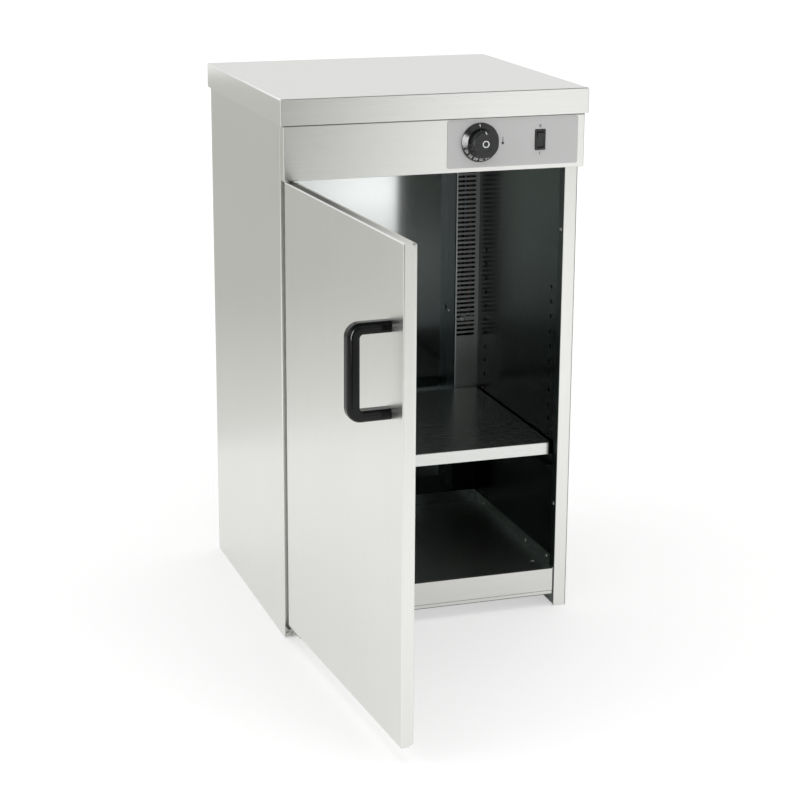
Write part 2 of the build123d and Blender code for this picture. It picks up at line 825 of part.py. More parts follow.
def heater_duct():
    """Corner duct with a ladder of slots over the heater."""
    height = (cover_top, ceiling_face)
    outer = block((duct_left, wall_face), (duct_front, back_face), height)
    inner = block((duct_left + inner_sheet, wall_face + cut_margin),
                  (duct_front + inner_sheet, back_face + cut_margin), height)
    outer = fillet(duct_corner(outer), duct_corner_radius)
    inner = fillet(duct_corner(inner), duct_corner_radius - inner_sheet)
    duct = outer - inner
    duct = duct + block((duct_left, duct_left + duct_fold), (back_face - inner_sheet, back_face), height)
    duct = duct + block((wall_face - inner_sheet, wall_face), (duct_front, duct_front + duct_fold), height)
    middle = wall_face - slot_right_margin - slot_width / 2
    front_plane = Plane(origin=(0, duct_front, 0), x_dir=(1, 0, 0), z_dir=(0, -1, 0))
    slots = []
    for number in range(slot_count):
        level = ceiling_face - slot_first_drop - number * slot_pitch
        slot = front_plane * Pos(middle, level) * SlotOverall(slot_width, slot_height)
        slots.append(extrude(slot, 2 * inner_sheet, both=True))
    duct = duct - slots
    left, front = duct_screw_points()
    duct = drill(duct, [left], (1, 0, 0), screw_hole, through)
    return drill(duct, [front], (0, 1, 0), screw_hole, through)


def heating_element():
    """U-shaped sheathed heater with its terminals above the ceiling."""
    left, right = heater_leg_places()
    arc_level = heater_bottom + heater_leg_spacing / 2
    path = Polyline((left, heater_depth, heater_top), (left, heater_depth, arc_level))
    path = path + ThreePointArc((left, heater_depth, arc_level), (heater_middle, heater_depth, heater_bottom),
                                (right, heater_depth, arc_level))
    path = path + Polyline((right, heater_depth, arc_level), (right, heater_depth, heater_top))
    section = Plane(origin=path @ 0, z_dir=(0, 0, -1)) * Circle(heater_tube_diameter / 2)
    element = sweep(section, path=path)
    for x in (left, right):
        element = element + rod((x, heater_depth, heater_top), (0, 0, 1), heater_terminal_diameter,
                                heater_terminal_length)
    return element


def heater_flange():
    """Plate on the ceiling that holds the heater's legs."""
    half = heater_leg_spacing / 2 + heater_flange_margin
    deep = heater_flange_width / 2
    plate = block((heater_middle - half, heater_middle + half), (heater_depth - deep, heater_depth + deep),
                  (ceiling_top, ceiling_top + heater_flange_thickness))
    plate = fillet(plate.edges().filter_by(Axis.Z), heater_flange_corner)
    legs = [(x, heater_depth, ceiling_top) for x in heater_leg_places()]
    return drill(plate, legs, (0, 0, 1), heater_tube_diameter + screw_clearance, through)


def heater_bracket():
    """Folded strap behind the duct's front that steadies both heater legs."""
    z = (bracket_level - heater_bracket_height / 2, bracket_level + heater_bracket_height / 2)
    half = heater_leg_spacing / 2 + heater_bracket_margin
    x = (heater_middle - half, heater_middle + half)
    back = heater_depth + heater_tube_diameter / 2 + heater_bracket_wall
    front = duct_front + inner_sheet
    strap = block(x, (front, front + inner_sheet), z)
    strap = strap + block((x[0], x[0] + outer_sheet), (front, back), z)
    strap = strap + block(x, (heater_depth, back), z)
    legs = [(place, heater_depth, z[0]) for place in heater_leg_places()]
    strap = drill(strap, legs, (0, 0, 1), heater_tube_diameter + screw_clearance,
                  heater_bracket_height + cut_margin)
    return drill(strap, [duct_screw_points()[1]], (0, 1, 0), screw_hole, through)


def duct_screws():
    """Screws in the duct's left face and front."""
    left, front = duct_screw_points()
    return [pan_screw(left, (1, 0, 0), sheet_screw_length), pan_screw(front, (0, 1, 0), sheet_screw_length)]


def thermostat_bulb():
    """Sensing bulb in the duct and its capillary tube up to the thermostat."""
    x, y = bulb_place()
    bulb = rod((x, y, bulb_top - bulb_length), (0, 0, 1), bulb_diameter, bulb_length)
    level = top_insulation_top + 14
    entry = control_level + capillary_rise
    path = FilletPolyline(
        (x, y, bulb_top), (x, y, level), (x - 40, y - 22, level), (knob_place, thermostat_back + 40, level),
        (knob_place, thermostat_back + 20, entry), (knob_place, thermostat_back, entry),
        radius=[12, 18, 14, 12])
    section = Plane(origin=path @ 0, z_dir=path % 0) * Circle(capillary_diameter / 2)
    return bulb + sweep(section, path=path)


def bulb_clip():
    """Spring clip that holds the bulb to the back wall."""
    x, y = bulb_place()
    middle = bulb_top - bulb_length / 2
    z = (middle - clip_height / 2, middle + clip_height / 2)
    back = back_face - inner_sheet
    ring = Pos(x, y, middle) * Cylinder(bulb_diameter / 2 + clip_sheet, clip_height)
    base = block((x - clip_neck / 2, x + clip_foot), (back - clip_sheet, back), z)
    neck = block((x - clip_neck / 2, x + clip_neck / 2), (y, back), z)
    return ring + base + neck - Pos(x, y, middle) * Cylinder(bulb_diameter / 2, clip_height + cut_margin)


def thermal_cutout():
    """Safety cut-out on the ceiling, beside the heater's flange."""
    wide, deep = cutout_plate
    plate_y = (heater_depth - deep / 2, heater_depth + deep / 2)
    plate = block((cutout_place - wide / 2, cutout_place + wide / 2), plate_y,
                  (ceiling_top, ceiling_top + outer_sheet))
    can = rod((cutout_place, heater_depth, ceiling_top), (0, 0, 1), cutout_diameter, cutout_height)
    body = plate + can
    top = ceiling_top + cutout_height
    tab_y = (heater_depth - tab_width / 2, heater_depth + tab_width / 2)
    for side in (-1, 1):
        x = cutout_place + side * cutout_tab_spacing / 2
        body = body + block((x - tab_thickness / 2, x + tab_thickness / 2), tab_y, (top, top + tab_length))
    return body


def terminal_places():
    """Front openings of the terminal block's three ways."""
    level = ceiling_top + terminal_height / 2
    return [(terminal_offset + way * terminal_pitch, terminal_front, level) for way in range(3)]


def terminal_block():
    """Three-way terminal block on the ceiling, inside the rear panel."""
    places = terminal_places()
    top = ceiling_top + terminal_height
    body = block((places[0][0] - terminal_margin, places[-1][0] + terminal_margin),
                 (terminal_front, terminal_front + terminal_depth), (ceiling_top, top))
    body = drill(body, places, (0, 1, 0), terminal_way_diameter, terminal_way_depth)
    screws = [(x, terminal_front + terminal_depth / 2, top) for x, y, z in places]
    return drill(body, screws, (0, 0, -1), terminal_screw_diameter, terminal_screw_depth)


def earth_stud():
    """Earth stud with its nut, welded to the ceiling."""
    stud = rod((earth_offset, heater_depth, ceiling_top), (0, 0, 1), stud_diameter, stud_height)
    nut_base = Plane(origin=(earth_offset, heater_depth, ceiling_top + stud_nut_rise), z_dir=(0, 0, 1))
    return stud + extrude(nut_base * RegularPolygon(nut_radius, 6), nut_height)


def cable_gland():
    """Cable gland for the supply inlet, outside the rear panel."""
    centre = (gland_offset, 0, gland_level)
    face = Plane(origin=centre, z_dir=(0, 1, 0))
    body = extrude(face * RegularPolygon(gland_hex / 2, 6), gland_body_length)
    cap = rod((gland_offset, gland_body_length, gland_level), (0, 1, 0), gland_cap_diameter, gland_cap_length)
    cap = fillet(cap.faces().sort_by(Axis.Y)[-1].edges(), gland_cap_radius)
    body = body + cap + rod(centre, (0, -1, 0), gland_thread_diameter, gland_thread_length)
    whole_length = gland_body_length + gland_cap_length + gland_thread_length
    mouth = (gland_offset, gland_body_length + gland_cap_length, gland_level)
    return drill(body, [mouth], (0, -1, 0), gland_bore, whole_length + cut_margin)


def gland_nut():
    """Lock nut of the cable gland, inside the rear panel."""
    place = (gland_offset, rear_plane, gland_level)
    return hex_nut(place, (0, -1, 0), gland_hex / 2, nut_height, gland_thread_diameter)


def live_wires():
    """Live from the inlet to the switch, and on from the switch to the thermostat."""
    level = top_insulation_top + 8
    upper = control_level + switch_tab_spacing
    x, y, z = terminal_places()[1]
    rear = switch_back + tab_length
    inlet = wire([(x, y, z), (x, y - 20, z), (x + 6, y - 52, level), (switch_place, rear + 60, level),
                  (switch_place, rear + 32, upper), (switch_place, rear, upper)], [14, 20, 18, 14])
    tab = thermostat_back + tab_length
    right = knob_place + thermostat_tab_offset
    bridge = wire([(switch_place, rear, control_level), (switch_place, rear + 26, control_level),
                   (right, tab + 30, control_level), (right, tab, control_level)], [20, 20])
    return [inlet, bridge]


def heater_wires():
    """Switched live from the thermostat to the cut-out, and on from the cut-out to the heater."""
    level = top_insulation_top + 24
    tab = thermostat_back + tab_length
    start = knob_place - thermostat_tab_offset
    near = cutout_place - cutout_tab_spacing / 2
    far = cutout_place + cutout_tab_spacing / 2
    top = ceiling_top + cutout_height + tab_length
    left = heater_leg_places()[0]
    feed = wire([(start, tab, control_level), (start, tab + 30, control_level),
                 (knob_place, tab + 110, level), (near, heater_depth - 40, level),
                 (near, heater_depth, level), (near, heater_depth, top)], [30, 40, 16, 14])
    jumper = wire([(far, heater_depth, top), (far, heater_depth, heater_pin_top + 18),
                   (left, heater_depth, heater_pin_top + 18), (left, heater_depth, heater_pin_top)], [12, 12])
    return [feed, jumper]


def neutral_wire():
    """Neutral from the terminal block to the heater."""
    right = heater_leg_places()[1]
    x, y, z = terminal_places()[2]
    return wire([(x, y, z), (x, y - 18, z), (x + 26, y - 22, z + 14), (right, y - 20, heater_pin_top + 16),
                 (right, heater_depth, heater_pin_top + 16), (right, heater_depth, heater_pin_top)],
                [9, 12, 12, 9])


def earth_wire():
    """Earth from the terminal block to the earth stud."""
    x, y, z = terminal_places()[0]
    level = ceiling_top + 34
    foot = ceiling_top + stud_height
    return wire([(x, y, z), (x, y - 26, z), (earth_offset, y - 24, level),
                 (earth_offset, heater_depth, level), (earth_offset, heater_depth, foot)], [12, 12, 9])


def side_insulation():
    """Insulation against the inside of both side skins."""
    outer = -half_width + outer_sheet
    depth = (lip_end + outer_sheet, -rear_screw_length - 2 * outer_sheet)
    slab = block((outer, outer + insulation_side), depth, (2 * fold_radius, ceiling_face))
    return both_sides(slab)


def back_insulation():
    """Insulation between the inner back wall and the rear panel."""
    half = lip_face - outer_sheet
    return block((-half, half), (back_face + inner_sheet, rear_plane),
                 (deck_height + inner_sheet, ceiling_face - inner_sheet))


def top_insulation():
    """Insulation on the ceiling, clear of the heater's flange and the terminals."""
    return block((-lip_face, lip_face), (body_front + header_shelf, duct_front - top_insulation_rear_gap),
                 (ceiling_top, top_insulation_top))


def hinge_bracket(low):
    """Angle on the left front flange that holds a hinge pin, under the door or inside the fascia."""
    x = (-half_width + door_side_gap, -half_width + door_side_gap + bracket_width)
    foot, top = bracket_limits(low)
    upright = block(x, (body_front - bracket_thickness, body_front), (foot, top))
    leg_low = top - bracket_thickness if low else foot
    leg = block(x, (pivot_y - bracket_leg_lap, body_front), (leg_low, leg_low + bracket_thickness))
    bracket = drill(upright + leg, [(pivot_x, pivot_y, leg_low)], (0, 0, 1), pin_bore, through)
    return drill(bracket, bracket_screw_points(low), (0, 1, 0), screw_hole, through)


def hinge_bracket_screws():
    """Screws of both hinge brackets."""
    points = bracket_screw_points(True) + bracket_screw_points(False)
    return [pan_screw(point, (0, 1, 0), bracket_screw_length) for point in points]


def hinge_pin(height, way, length):
    """Headed pin: the head's underside sits at a height and the shank runs up or down."""
    place = (pivot_x, pivot_y, height)
    head = rod(place, (0, 0, -way), pin_head_diameter, pin_head_height)
    return head + rod(place, (0, 0, way), pin_diameter, length)


def hinge_pins():
    """Lower and upper hinge pins, each with its head on the far side of its bracket."""
    low = lower_bracket_top - bracket_thickness
    high = bracket_limits(False)[0] + bracket_thickness
    return [hinge_pin(low, 1, door_bottom + pin_door_reach - low),
            hinge_pin(high, -1, high - door_top + pin_door_reach)]


def hinge_washer():
    """Nylon washer on the lower bracket, under the door's hinge plate."""
    place = (pivot_x, pivot_y, lower_bracket_top)
    washer = rod(place, (0, 0, 1), washer_diameter, washer_thickness)
    return drill(washer, [place], (0, 0, 1), pin_bore, through)


def catch_block(front, depth):
    """Upright block at the catch's place, used for the magnet and for its strike plate."""
    wide, tall = catch_size
    return block((wall_back + catch_inset, wall_back + catch_inset + wide), (front, front + depth),
                 (catch_level - tall / 2, catch_level + tall / 2))


def magnetic_catch():
    """Magnet behind the right front flange, out of sight."""
    return catch_block(body_front + outer_sheet, catch_depth)


def strike_plate():
    """Steel plate inside the door, opposite the magnet."""
    return catch_block(door_inner_face - door_tray_sheet - strike_thickness, strike_thickness)


def wall_rivets():
    """All domed rivets of the heated space."""
    rivets = []
    for point in lip_rivet_points() + pan_rivet_points():
        rivets.extend(both_sides(dome_rivet(point, (-1, 0, 0))))
    return rivets


def rear_panel_screws():
    """Screws down the rear panel's edges."""
    return [pan_screw(point, (0, -1, 0), rear_screw_length) for point in rear_screw_points()]


def fascia_screws():
    """Screws through the fascia's lip into the header."""
    return [pan_screw(point, (0, 1, 0), sheet_screw_length) for point in fascia_screw_points()]


def opened(part):
    """Door piece turned from shut to its rest position."""
    return part.rotate(Axis((pivot_x, pivot_y, 0), (0, 0, 1)), -door_open_angle)


def pin_ways():
    """Room for the hinge pins through the door's lower and upper folds."""
    length = pin_door_reach + 2 * cut_margin
    lower = rod((pivot_x, pivot_y, door_bottom - cut_margin), (0, 0, 1), pin_hole_diameter, length)
    upper = rod((pivot_x, pivot_y, door_top + cut_margin), (0, 0, -1), pin_hole_diameter, length)
    return lower + upper


def handle_screw_points():
    """Inner ends of the handle's screws, inside the door's front sheet."""
    half = handle_spacing / 2
    return [(handle_x, fascia_front + door_sheet, handle_height + side * half) for side in (-1, 1)]


def hinge_plate_screw_points():
    """Screws that hold the hinge plate under the door."""
    middle = (fascia_front + door_inner_face) / 2
    low = door_bottom - hinge_plate_thickness
    return [(-door_half + reach, middle, low) for reach in hinge_plate_screw_reaches]


def door_outer_pan():
    """Outer half of the door: front sheet with four folds."""
    pan = tray((-door_half, door_half), (fascia_front, door_seam), (door_bottom, door_top), door_sheet,
               Axis.Y, 0, rim=fold_radius)
    pan = drill(pan - pin_ways(), hinge_plate_screw_points(), (0, 0, 1), screw_hole, through)
    return drill(pan, handle_screw_points(), (0, -1, 0), screw_hole, through)


def door_inner_panel():
    """Inner half of the door: tray that nests inside the outer pan."""
    half = door_half - door_sheet
    tray_y = (door_seam - door_tray_overlap, door_inner_face)
    panel = tray((-half, half), tray_y, (door_bottom + door_sheet, door_top - door_sheet), door_tray_sheet,
                 Axis.Y, -1, corner=door_tray_corner, rim=2 * fold_radius)
    return drill(panel - pin_ways(), hinge_plate_screw_points(), (0, 0, 1), screw_hole,
                 hinge_plate_screw_length)


def hinge_block_limits(low):
    """Limits of a nylon block in a hinge corner of the door."""
    inset = door_sheet + door_tray_sheet
    x = (-door_half + inset, -door_half + inset + hinge_block_width)
    y = (fascia_front + door_sheet, door_inner_face - door_tray_sheet)
    z = (door_bottom + inset, door_bottom + inset + hinge_block_height)
    if not low:
        z = (door_top - inset - hinge_block_height, door_top - inset)
    return x, y, z


def door_hinge_blocks():
    """Nylon blocks in the door's hinge corners, bored for the pins."""
    blocks = []
    for low in (True, False):
        body = block(*hinge_block_limits(low))
        body = fillet(body.edges().filter_by(Axis.Y), door_tray_corner)
        body = chamfer(body.faces().sort_by(Axis.Y)[-1].edges(), 2 * fold_radius)
        height = door_bottom if low else door_top
        way = (0, 0, 1) if low else (0, 0, -1)
        body = drill(body, [(pivot_x, pivot_y, height)], way, pin_bore, pin_door_reach + cut_margin)
        if low:
            body = drill(body, hinge_plate_screw_points()[:1], (0, 0, 1), screw_hole,
                         hinge_plate_screw_length + cut_margin)
        blocks.append(body)
    return blocks


def door_core():
    """Insulation that fills the door, cut round the hinge blocks, strike plate and screws."""
    inset = door_sheet + door_tray_sheet + core_gap
    core = block((-door_half + inset, door_half - inset),
                 (fascia_front + door_sheet, door_inner_face - door_tray_sheet),
                 (door_bottom + inset, door_top - inset))
    core = chamfer(core.faces().sort_by(Axis.Y)[-1].edges(), 2 * fold_radius)
    for low in (True, False):
        core = core - block(*hinge_block_limits(low))
    core = core - strike_plate()
    pocket = screw_head_diameter + 2 * body_clearance
    core = drill(core, handle_screw_points(), (0, 1, 0), pocket, 2 * screw_head_height)
    return drill(core, hinge_plate_screw_points(), (0, 0, 1), screw_head_diameter,
                 hinge_plate_screw_length + cut_margin)


def door_hinge_plate():
    """Steel plate under the door that turns on the lower pin."""
    low = door_bottom - hinge_plate_thickness
    plate_y = (fascia_front + hinge_plate_margin, door_inner_face - hinge_plate_margin)
    plate = block((-door_half, -door_half + hinge_plate_length), plate_y, (low, door_bottom))
    plate = fillet(plate.edges().filter_by(Axis.Z), hinge_plate_corner)
    plate = drill(plate, [(pivot_x, pivot_y, low)], (0, 0, 1), pin_bore, through)
    return drill(plate, hinge_plate_screw_points(), (0, 0, 1), screw_hole, through)


def hinge_plate_screws():
    """Screws under the hinge plate."""
    return [pan_screw(point, (0, 0, 1), hinge_plate_screw_length) for point in hinge_plate_screw_points()]


def handle_outline(outer_inset, inner_inset):
    """Bridge shape seen from the side, thinned from its outer and its inner path."""
    half = handle_spacing / 2 + handle_arm / 2 - outer_inset
    outside = Rectangle(2 * half, handle_projection - outer_inset, align=(Align.CENTER, Align.MIN))
    outside = fillet(outside.vertices().group_by(Axis.Y)[-1], handle_outer_radius - outer_inset)
    inner_half = handle_spacing / 2 - handle_arm / 2 + inner_inset
    inner_reach = handle_projection - handle_grip + inner_inset
    inside = Rectangle(2 * inner_half, inner_reach, align=(Align.CENTER, Align.MIN))
    inside = fillet(inside.vertices().group_by(Axis.Y)[-1], handle_inner_radius + inner_inset)
    return outside - inside


def handle_depth(edge):
    """How far an edge of the drawn bridge lies inside its outer path."""
    middle = edge.center()
    return -max(abs(middle.X) - handle_spacing / 2 - handle_arm / 2, middle.Y - handle_projection)


def handle_side_edges(shape):
    """Edges of the bridge's two flat sides, without those of its feet."""
    return shape.faces().filter_by(Axis.Z).edges().filter_by(lambda edge: edge.center().Y > cut_margin)


def door_handle():
    """Bridge handle: a well rounded outer half on a slightly narrower inner half."""
    wide = extrude(handle_outline(0, handle_base_depth), handle_width / 2, both=True)
    outer = handle_side_edges(wide).filter_by(lambda edge: handle_depth(edge) < handle_arm / 2)
    wide = fillet(outer, handle_outer_edge)
    base_inset = handle_arm - handle_base_depth - handle_base_lap
    narrow = extrude(handle_outline(base_inset, 0), handle_width / 2 - handle_ledge, both=True)
    inner_depth = handle_arm - handle_base_lap
    inner = handle_side_edges(narrow).filter_by(lambda edge: handle_depth(edge) > inner_depth)
    narrow = fillet(inner, handle_inner_edge)
    side = Plane(origin=(handle_x, fascia_front, handle_height), x_dir=(0, 0, 1), z_dir=(1, 0, 0))
    handle = side * (wide + narrow)
    feet = [(x, fascia_front, z) for x, y, z in handle_screw_points()]
    return drill(handle, feet, (0, -1, 0), screw_hole, handle_screw_length)


def handle_screws():
    """Screws from inside the door into the handle's feet."""
    return [pan_screw(point, (0, -1, 0), handle_screw_length) for point in handle_screw_points()]


fixed_parts = {
    "left_side_skin": lambda: side_skin(True),
    "right_side_skin": lambda: mirror(side_skin(False), about=Plane.YZ),
    "left_inner_wall": inner_wall,
    "right_inner_wall": lambda: mirror(inner_wall(), about=Plane.YZ),
    "rear_panel": rear_panel,
    "inner_back_wall": inner_back_wall,
    "cavity_ceiling": cavity_ceiling,
    "front_header": front_header,
    "bottom_pan": bottom_pan,
    "rear_floor_cover": rear_floor_cover,
    "top_cap": top_cap,
    "cap_nuts": cap_nuts,
    "fascia": fascia,
    "control_plate": control_plate,
    "thermostat_body": thermostat_body,
    "thermostat_screws": thermostat_screws,
    "thermostat_shaft": thermostat_shaft,
    "thermostat_knob": thermostat_knob,
    "switch_housing": switch_housing,
    "switch_rocker": switch_rocker,
    "shelf": shelf,
    "left_shelf_rail": shelf_rail,
    "right_shelf_rail": lambda: mirror(shelf_rail(), about=Plane.YZ),
    "heater_duct": heater_duct,
    "heating_element": heating_element,
    "heater_flange": heater_flange,
    "heater_bracket": heater_bracket,
    "duct_screws": duct_screws,
    "thermostat_bulb": thermostat_bulb,
    "bulb_clip": bulb_clip,
    "thermal_cutout": thermal_cutout,
    "terminal_block": terminal_block,
    "earth_stud": earth_stud,
    "cable_gland": cable_gland,
    "gland_nut": gland_nut,
    "live_wires": live_wires,
    "heater_wires": heater_wires,
    "neutral_wire": neutral_wire,
    "earth_wire": earth_wire,
    "side_insulation": side_insulation,
    "back_insulation": back_insulation,
    "top_insulation": top_insulation,
    "lower_hinge_bracket": lambda: hinge_bracket(True),
    "upper_hinge_bracket": lambda: hinge_bracket(False),
    "hinge_bracket_screws": hinge_bracket_screws,
    "hinge_pins": hinge_pins,
    "hinge_washer": hinge_washer,
    "magnetic_catch": magnetic_catch,
    "wall_rivets": wall_rivets,
    "rear_panel_screws": rear_panel_screws,
    "fascia_screws": fascia_screws,
}

door_parts = {
    "door_outer_pan": door_outer_pan,
    "door_inner_panel": door_inner_panel,
    "door_core": door_core,
    "door_hinge_blocks": door_hinge_blocks,
    "strike_plate": strike_plate,
    "door_hinge_plate": door_hinge_plate,
    "hinge_plate_screws": hinge_plate_screws,
    "door_handle": door_handle,
    "handle_screws": handle_screws,
}

os.makedirs("parts", exist_ok=True)
for name, make in {**fixed_parts, **door_parts}.items():
    made = make()
    solids = made if isinstance(made, list) else [made]
    if name in door_parts:
        solids = [opened(solid) for solid in solids]
    export_step(Compound(children=solids) if len(solids) > 1 else solids[0], f"parts/{name}.step")
    print(name, len(solids))
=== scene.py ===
import math

import bpy
from mathutils import Matrix, Vector


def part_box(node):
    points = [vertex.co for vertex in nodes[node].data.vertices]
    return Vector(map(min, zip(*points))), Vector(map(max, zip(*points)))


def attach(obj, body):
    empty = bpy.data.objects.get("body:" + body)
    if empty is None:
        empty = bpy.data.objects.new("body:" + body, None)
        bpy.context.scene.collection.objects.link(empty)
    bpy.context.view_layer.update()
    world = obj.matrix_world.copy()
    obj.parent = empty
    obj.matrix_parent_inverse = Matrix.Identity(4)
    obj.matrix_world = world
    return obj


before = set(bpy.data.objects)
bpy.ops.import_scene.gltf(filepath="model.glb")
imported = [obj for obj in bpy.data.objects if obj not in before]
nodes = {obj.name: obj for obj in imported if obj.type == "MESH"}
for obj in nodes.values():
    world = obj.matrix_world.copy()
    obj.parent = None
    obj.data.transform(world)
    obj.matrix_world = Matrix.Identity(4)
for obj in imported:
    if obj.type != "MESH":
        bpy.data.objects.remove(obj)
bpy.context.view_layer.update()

camera = {
    "place": (-1.0458, -3.4186, 1.2771),  # metres, in front of the cabinet and to its left
    "yaw": 18.46,                         # degrees towards the right
    "pitch": 15.99,                       # degrees downwards
    "roll": 0.34,
    "lens": 94.29,
}


def makeCamera():
    data = bpy.data.cameras.new("studioCamera")
    data.sensor_width = 36.0
    data.lens = camera["lens"]
    data.clip_end = 100.0
    stand = bpy.data.objects.new("studioCamera", data)
    bpy.context.scene.collection.objects.link(stand)
    turn = Matrix.Rotation(math.radians(-camera["yaw"]), 4, "Z")
    tilt = Matrix.Rotation(math.radians(90 - camera["pitch"]), 4, "X")
    roll = Matrix.Rotation(math.radians(camera["roll"]), 4, "Z")
    stand.matrix_world = Matrix.Translation(camera["place"]) @ turn @ tilt @ roll
    bpy.context.scene.camera = stand


makeCamera()
print("camera ready")


def linear(code):  # sRGB hex to the linear colour that shaders read
    channels = [int(code[i:i + 2], 16) / 255 for i in (1, 3, 5)]
    return [c / 12.92 if c <= 0.04045 else ((c + 0.055) / 1.055) ** 2.4 for c in channels] + [1.0]


def addNode(tree, kind, values=None, links=None, stops=None, **settings):  # one shader node, its settings and links
    node = tree.nodes.new(kind)
    for name, value in settings.items():
        setattr(node, name, value)
    for socket, value in (values or {}).items():
        node.inputs[socket].default_value = value
    for socket, source in (links or {}).items():
        tree.links.new(source, node.inputs[socket])
    if stops:  # a ramp's colours, as (position, hex)
        while len(node.color_ramp.elements) < len(stops):
            node.color_ramp.elements.new(0.5)
        for element, (spot, code) in zip(node.color_ramp.elements, stops):
            element.position = spot
            element.color = linear(code)
    return node


def emptyMaterial(name):  # material with no shader yet, and the object's coordinates
    material = bpy.data.materials.new(name)
    material.use_nodes = True
    tree = material.node_tree
    tree.nodes.clear()
    return material, tree, addNode(tree, "ShaderNodeTexCoord").outputs["Object"]


def newMaterial(name, shader):  # the same with its Principled shader
    material, tree, place = emptyMaterial(name)
    surface = addNode(tree, "ShaderNodeBsdfPrincipled", shader)
    addNode(tree, "ShaderNodeOutputMaterial", links={"Surface": surface.outputs["BSDF"]})
    return material, tree, surface, place


brushing = {
    "width": 0.0012,    # metres: streaks 1.2 mm wide, coarser than real grit lines, to show
    "length": 0.16,
    "spread": (0.88, 1.16),   # how far the roughness strays from its middle
    "relief": 0.0004,
    "offAxis": 0.1,     # the grooves lean a little, so no face is square to them
}


def brushedSteel(name, grain, dark, light, rough, stretch=0.5, lift=0.012, paintedLightAndShade=(), turn=0.0, metal=1.0):
    # 304 stainless with a brushed finish: fine parallel streaks, reflections drawn out across them
    # each tint paints shade or a highlight onto the steel: a hex and the spans (axis, where it is 0, where it is 1)
    # that bound the place it colours
    material, tree, surface, place = newMaterial(name, {"Metallic": metal, "Anisotropic": stretch})
    scale = [1 / brushing["width"]] * 3
    scale["XYZ".index(grain)] = 1 / brushing["length"]
    pulled = addNode(tree, "ShaderNodeMapping", {"Scale": scale}, {"Vector": place}).outputs["Vector"]
    streaks = addNode(tree, "ShaderNodeTexNoise", {"Scale": 1.0, "Detail": 3.0, "Roughness": 0.6},
                      {"Vector": pulled}).outputs["Fac"]
    wiped = addNode(tree, "ShaderNodeTexNoise", {"Scale": 3.2, "Detail": 2.0}, {"Vector": place}).outputs["Fac"]
    wearAndPaintedFalloff = addNode(tree, "ShaderNodeMix", {"Factor": 0.4}, {"A": streaks, "B": wiped}).outputs["Result"]
    colour = addNode(tree, "ShaderNodeValToRGB", links={"Fac": wearAndPaintedFalloff}, stops=[(0.3, dark), (0.7, light)])
    colourWithPaintedLight = colour.outputs["Color"]
    if paintedLightAndShade:
        squared = addNode(tree, "ShaderNodeMapping", {"Rotation": (0, 0, turn)}, {"Vector": place}).outputs["Vector"]
        along = addNode(tree, "ShaderNodeSeparateXYZ", links={0: squared}).outputs
    for shade, *spans in paintedLightAndShade:
        cover = None
        for axis, clear, full in spans:
            span = addNode(tree, "ShaderNodeMapRange", {"From Min": clear, "From Max": full},
                           {"Value": along[axis]}).outputs["Result"]
            cover = span if cover is None else addNode(tree, "ShaderNodeMath", links={0: cover, 1: span},
                                                       operation="MULTIPLY").outputs[0]
        colourWithPaintedLight = addNode(tree, "ShaderNodeMix", {7: linear(shade)}, {0: cover, 6: colourWithPaintedLight}, data_type="RGBA").outputs[2]
    tree.links.new(colourWithPaintedLight, surface.inputs["Base Color"])
    low, high = (rough * share for share in brushing["spread"])
    dull = addNode(tree, "ShaderNodeMapRange", {"To Min": low, "To Max": high}, {"Value": wearAndPaintedFalloff})
    tree.links.new(dull.outputs["Result"], surface.inputs["Roughness"])
    relief = addNode(tree, "ShaderNodeBump", {"Strength": lift, "Distance": brushing["relief"]}, {"Height": streaks})
    tree.links.new(relief.outputs["Normal"], surface.inputs["Normal"])
    facing = addNode(tree, "ShaderNodeNewGeometry").outputs["Normal"]
    lean = brushing["offAxis"]
    grooves = (1.0, 0.0, lean) if grain == "X" else (lean, 0.0, 1.0)
    across = addNode(tree, "ShaderNodeVectorMath", {0: grooves}, {1: facing}, operation="CROSS_PRODUCT")
    tree.links.new(across.outputs["Vector"], surface.inputs["Tangent"])
    return material


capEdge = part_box("top_cap")[0][2]       # z of the cap skirt's lower edge
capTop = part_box("top_cap")[1][2]
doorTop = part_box("door_outer_pan")[1][2]
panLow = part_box("bottom_pan")[0][2]
shelfFront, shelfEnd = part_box("shelf")[0][1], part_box("shelf")[1][0]
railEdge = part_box("right_shelf_rail")[0][0]  # x of the rail's inner sheared edge
doorTurn = math.radians(-3.3)            # the door rests 3.3 degrees short of square to the front
doorFace = min(v.co.x * math.cos(doorTurn) - v.co.y * math.sin(doorTurn)
               for v in nodes["door_outer_pan"].data.vertices)
lipEdge = 0.219                          # x of the side skins' folded lip inside the opening
flangeBend = (0.2378, -0.4312)           # x and y where the right front flange's outer bend begins
print("door face", round(doorFace, 4), "shelf end", round(shelfEnd, 4), "cap skirt ends at", round(capEdge, 4))

